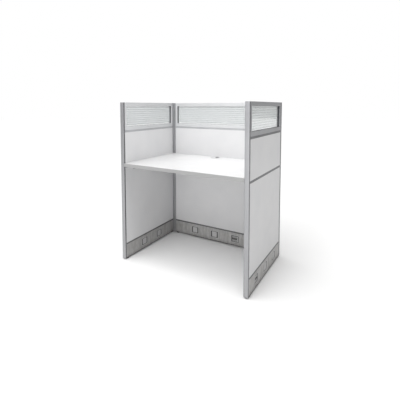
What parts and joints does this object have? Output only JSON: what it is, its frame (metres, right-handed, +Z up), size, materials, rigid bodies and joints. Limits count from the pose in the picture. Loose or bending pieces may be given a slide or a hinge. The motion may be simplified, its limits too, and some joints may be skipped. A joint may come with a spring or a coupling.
{
  "type": "study carrel",
  "caption": "Free-standing study carrel: three glazed partition panels between aluminium posts, a hung desk with a cable grommet, base raceways and levelling feet.",
  "frame": {"origin": "on the floor, in the middle of the outline of the carrel", "axes": "+X to the user's right, +Y towards the back panel, +Z up"},
  "size_m": [1.042, 0.674, 1.219],
  "materials": {
    "anodised_post": "satin anodised",
    "cap_plastic": "moulded",
    "frame_steel": "grey primer",
    "anodised_bar": "satin anodised",
    "glass": "clear with frosted stripes",
    "gasket_rubber": "matt",
    "tile_laminate": "white laminate on board",
    "trim_aluminium": "dark anodised",
    "raceway_paint": "metallic grey paint",
    "port_plastic": "moulded",
    "desk_laminate": "white laminate on board",
    "edge_band": "white edge band",
    "bracket_steel": "grey paint",
    "fastener_steel": "zinc plated",
    "insert_steel": "plain",
    "grommet_plastic": "moulded, light grey",
    "grommet_cap_plastic": "moulded, light grey",
    "foot_plastic": "black"
  },
  "bodies": {
    "carrel": {"front_post_left": "anodised_post", "front_post_right": "anodised_post", "rear_post_left": "anodised_post", "rear_post_right": "anodised_post", "wall_post_left": "anodised_post", "wall_post_right": "anodised_post", "post_caps": "cap_plastic", "frame_left": "frame_steel", "frame_back": "frame_steel", "frame_right": "frame_steel", "window_frame_left": "anodised_bar", "window_frame_back": "anodised_bar", "window_frame_right": "anodised_bar", "glass_left": "glass", "glass_back": "glass", "glass_right": "glass", "glazing_gaskets": "gasket_rubber", "upper_tile_left_inner": "tile_laminate", "upper_tile_left_outer": "tile_laminate", "upper_tile_back_inner": "tile_laminate", "upper_tile_back_outer": "tile_laminate", "upper_tile_right_inner": "tile_laminate", "upper_tile_right_outer": "tile_laminate", "lower_tile_left_inner": "tile_laminate", "lower_tile_left_outer": "tile_laminate", "lower_tile_back_inner": "tile_laminate", "lower_tile_back_outer": "tile_laminate", "lower_tile_right_inner": "tile_laminate", "lower_tile_right_outer": "tile_laminate", "joint_trims_left": "trim_aluminium", "joint_trims_back": "trim_aluminium", "joint_trims_right": "trim_aluminium", "port_modules_left": "port_plastic", "port_modules_back": "port_plastic", "port_modules_right": "port_plastic", "desk_top": "desk_laminate", "desk_edge_band": "edge_band", "desk_bracket_left": "bracket_steel", "desk_bracket_right": "bracket_steel", "desk_bracket_back": "bracket_steel", "desk_screws": "fastener_steel", "grommet_liner": "grommet_plastic", "connecting_bolts": "fastener_steel", "foot_inserts": "insert_steel"},
    "foot_left_front": {"foot_left_front": "foot_plastic"},
    "foot_left_rear": {"foot_left_rear": "foot_plastic"},
    "foot_right_front": {"foot_right_front": "foot_plastic"},
    "foot_right_rear": {"foot_right_rear": "foot_plastic"},
    "foot_back_left": {"foot_back_left": "foot_plastic"},
    "foot_back_right": {"foot_back_right": "foot_plastic"},
    "foot_corner_left": {"foot_corner_left": "foot_plastic"},
    "foot_corner_right": {"foot_corner_right": "foot_plastic"},
    "raceway_cover_left_inner": {"raceway_cover_left_inner": "raceway_paint"},
    "raceway_cover_left_outer": {"raceway_cover_left_outer": "raceway_paint"},
    "raceway_cover_back_inner": {"raceway_cover_back_inner": "raceway_paint"},
    "raceway_cover_back_outer": {"raceway_cover_back_outer": "raceway_paint"},
    "raceway_cover_right_inner": {"raceway_cover_right_inner": "raceway_paint"},
    "raceway_cover_right_outer": {"raceway_cover_right_outer": "raceway_paint"},
    "grommet_cap": {"grommet_cap": "grommet_cap_plastic"}
  },
  "joints": [
    {"name": "foot_left_front_screw", "type": "slide", "parent": "carrel", "child": "foot_left_front", "axis": [0, 0, -1], "range_m": [0, 0.015]},
    {"name": "foot_left_rear_screw", "type": "slide", "parent": "carrel", "child": "foot_left_rear", "axis": [0, 0, -1], "range_m": [0, 0.015]},
    {"name": "foot_right_front_screw", "type": "slide", "parent": "carrel", "child": "foot_right_front", "axis": [0, 0, -1], "range_m": [0, 0.015]},
    {"name": "foot_right_rear_screw", "type": "slide", "parent": "carrel", "child": "foot_right_rear", "axis": [0, 0, -1], "range_m": [0, 0.015]},
    {"name": "foot_back_left_screw", "type": "slide", "parent": "carrel", "child": "foot_back_left", "axis": [0, 0, -1], "range_m": [0, 0.015]},
    {"name": "foot_back_right_screw", "type": "slide", "parent": "carrel", "child": "foot_back_right", "axis": [0, 0, -1], "range_m": [0, 0.015]},
    {"name": "foot_corner_left_screw", "type": "slide", "parent": "carrel", "child": "foot_corner_left", "axis": [0, 0, -1], "range_m": [0, 0.015]},
    {"name": "foot_corner_right_screw", "type": "slide", "parent": "carrel", "child": "foot_corner_right", "axis": [0, 0, -1], "range_m": [0, 0.015]},
    {"name": "cover_left_inner_pull", "type": "slide", "parent": "carrel", "child": "raceway_cover_left_inner", "axis": [1, 0, 0], "range_m": [0, 0.028]},
    {"name": "cover_left_outer_pull", "type": "slide", "parent": "carrel", "child": "raceway_cover_left_outer", "axis": [-1, 0, 0], "range_m": [0, 0.028]},
    {"name": "cover_back_inner_pull", "type": "slide", "parent": "carrel", "child": "raceway_cover_back_inner", "axis": [0, -1, 0], "range_m": [0, 0.028]},
    {"name": "cover_back_outer_pull", "type": "slide", "parent": "carrel", "child": "raceway_cover_back_outer", "axis": [0, 1, 0], "range_m": [0, 0.028]},
    {"name": "cover_right_inner_pull", "type": "slide", "parent": "carrel", "child": "raceway_cover_right_inner", "axis": [-1, 0, 0], "range_m": [0, 0.028]},
    {"name": "cover_right_outer_pull", "type": "slide", "parent": "carrel", "child": "raceway_cover_right_outer", "axis": [1, 0, 0], "range_m": [0, 0.028]},
    {"name": "grommet_cap_turn", "type": "hinge", "parent": "carrel", "child": "grommet_cap", "pos_m": [-0.017, 0.254, 0.755], "axis": [0, 0, 1], "continuous": true}
  ]
}
